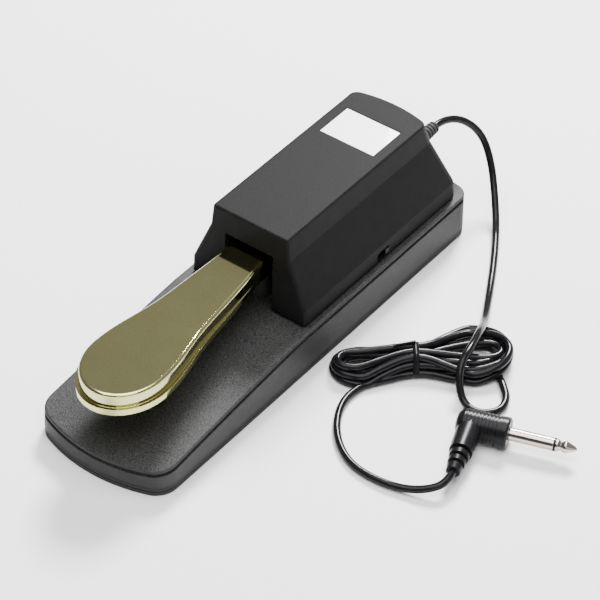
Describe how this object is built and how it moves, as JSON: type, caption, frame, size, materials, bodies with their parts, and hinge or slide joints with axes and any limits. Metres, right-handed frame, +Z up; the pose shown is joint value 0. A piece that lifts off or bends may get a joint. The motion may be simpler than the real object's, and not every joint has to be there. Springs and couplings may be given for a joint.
{
  "type": "sustain pedal",
  "caption": "Piano-style foot pedal: plated lever in a tapered housing on a rubber-footed base, with spring return, switch, polarity slider, lead and 6.35 mm angled plug.",
  "frame": {"origin": "middle of the base's footprint, on the surface the rubber mat rests on", "axes": "+Z up, -Y toward the foot lever's round end, +X to the right seen from above with the lever at the front"},
  "size_m": [0.206, 0.2786, 0.0714],
  "materials": {
    "black_plastic": "fine texture",
    "gloss_black": "smooth",
    "rubber": "matte",
    "cable": "smooth, flexible",
    "nickel": "polished",
    "lever_plating": "polished pale gold plating",
    "steel": "satin",
    "white_label": "smooth",
    "nylon": "satin",
    "board": "solder mask",
    "switch_black": "satin",
    "brass": "plain",
    "wire": "smooth"
  },
  "bodies": {
    "chassis": {"base_shell": "black_plastic", "board_screws": "steel", "bottom_plate": "steel", "bracket_screws": "steel", "cable_clamp": "nylon", "circuit_board": "board", "clamp_screws": "steel", "cord_hank": "cable", "cord_to_hank": "cable", "cord_to_plug": "cable", "cover_screws": "steel", "down_stop": "rubber", "housing_cover": "black_plastic", "inner_cable": "cable", "label_plate": "white_label", "microswitch_body": "switch_black", "microswitch_screws": "steel", "microswitch_terminals": "brass", "pivot_bracket": "steel", "pivot_shaft": "steel", "plate_screws": "steel", "plug_body": "gloss_black", "plug_ring": "gloss_black", "plug_sleeve": "nickel", "plug_tip": "nickel", "polarity_switch_body": "switch_black", "return_spring": "steel", "rubber_mat": "rubber", "shaft_clips": "steel", "spring_seat": "nylon", "strain_relief": "rubber", "switch_wires": "wire", "twist_tie": "gloss_black", "up_stop": "rubber"},
    "pedal": {"pedal_lever": "lever_plating", "bush_left": "nylon", "bush_right": "nylon"},
    "leaf": {"microswitch_leaf": "steel"},
    "plunger": {"microswitch_plunger": "nylon"},
    "knob": {"polarity_knob": "switch_black"}
  },
  "joints": [
    {"name": "pedal_pivot", "type": "hinge", "parent": "chassis", "child": "pedal", "pos_m": [0, 0.044, 0.047], "axis": [1, 0, 0], "range_deg": [0, 5.5], "stiffness_Nm_per_rad": 12, "springref_deg": -3.44, "deforming": ["return_spring"]},
    {"name": "leaf_pivot", "type": "hinge", "parent": "chassis", "child": "leaf", "pos_m": [0.01075, 0.0355, 0.0422], "axis": [1, 0, 0], "range_deg": [0, 9]},
    {"name": "plunger_slide", "type": "slide", "parent": "chassis", "child": "plunger", "axis": [0, 0, -1], "range_m": [0, 0.0011]},
    {"name": "polarity_slide", "type": "slide", "parent": "chassis", "child": "knob", "axis": [0, -1, 0], "range_m": [0, 0.0058]}
  ],
  "couplings": [
    {"joint": "leaf_pivot", "follows": "pedal_pivot", "ratio": 1.6},
    {"joint": "plunger_slide", "follows": "pedal_pivot", "m_per_rad": 0.0105}
  ]
}
